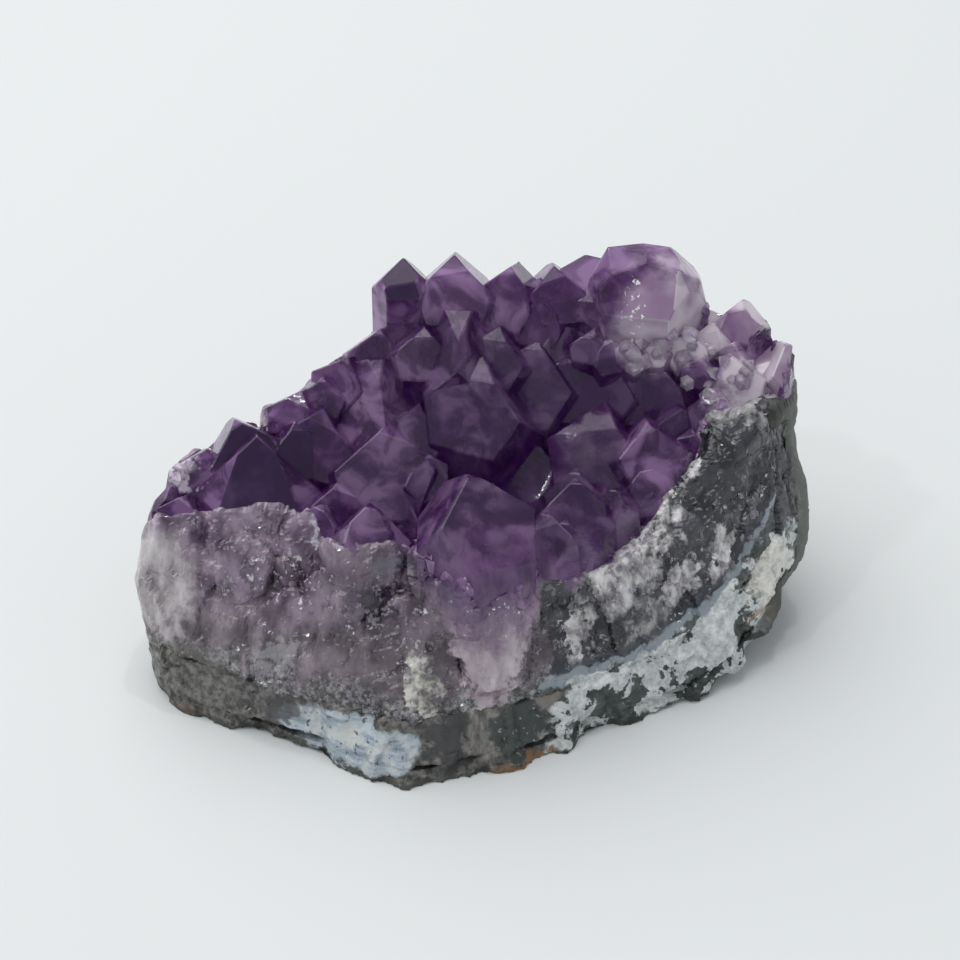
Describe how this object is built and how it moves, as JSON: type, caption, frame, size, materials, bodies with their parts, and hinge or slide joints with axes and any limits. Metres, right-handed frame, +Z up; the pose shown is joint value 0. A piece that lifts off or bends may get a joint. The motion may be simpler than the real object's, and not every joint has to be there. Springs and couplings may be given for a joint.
{
  "type": "amethyst cluster",
  "caption": "Hand-sized broken piece of a geode wall: a bowl lined with purple amethyst points, over milky quartz, banded agate and a thin dark basalt skin.",
  "frame": {"origin": "middle of the bounding box in X and Y, on the surface that the piece rests on", "axes": "+Z up; +X along the longest side, towards the end whose underside curves up; -Y towards the broken front corner with the tall single crystal; +Y towards the high back rim"},
  "size_m": [0.1, 0.0674, 0.0549],
  "materials": {
    "basalt": "rough dark green-brown skin, rusty along its broken lower edge",
    "agate": "waxy blue-white and dark green bands",
    "milky_quartz": "broken, glassy to frosty, milky lilac to smoky slate",
    "amethyst": "clear purple crystal with bright faces, deeper in colour at the tips"
  },
  "bodies": {
    "root": {"basalt_rind": "basalt", "agate_band": "agate", "quartz_layer": "milky_quartz", "amethyst_crystals": "amethyst"}
  },
  "joints": []
}
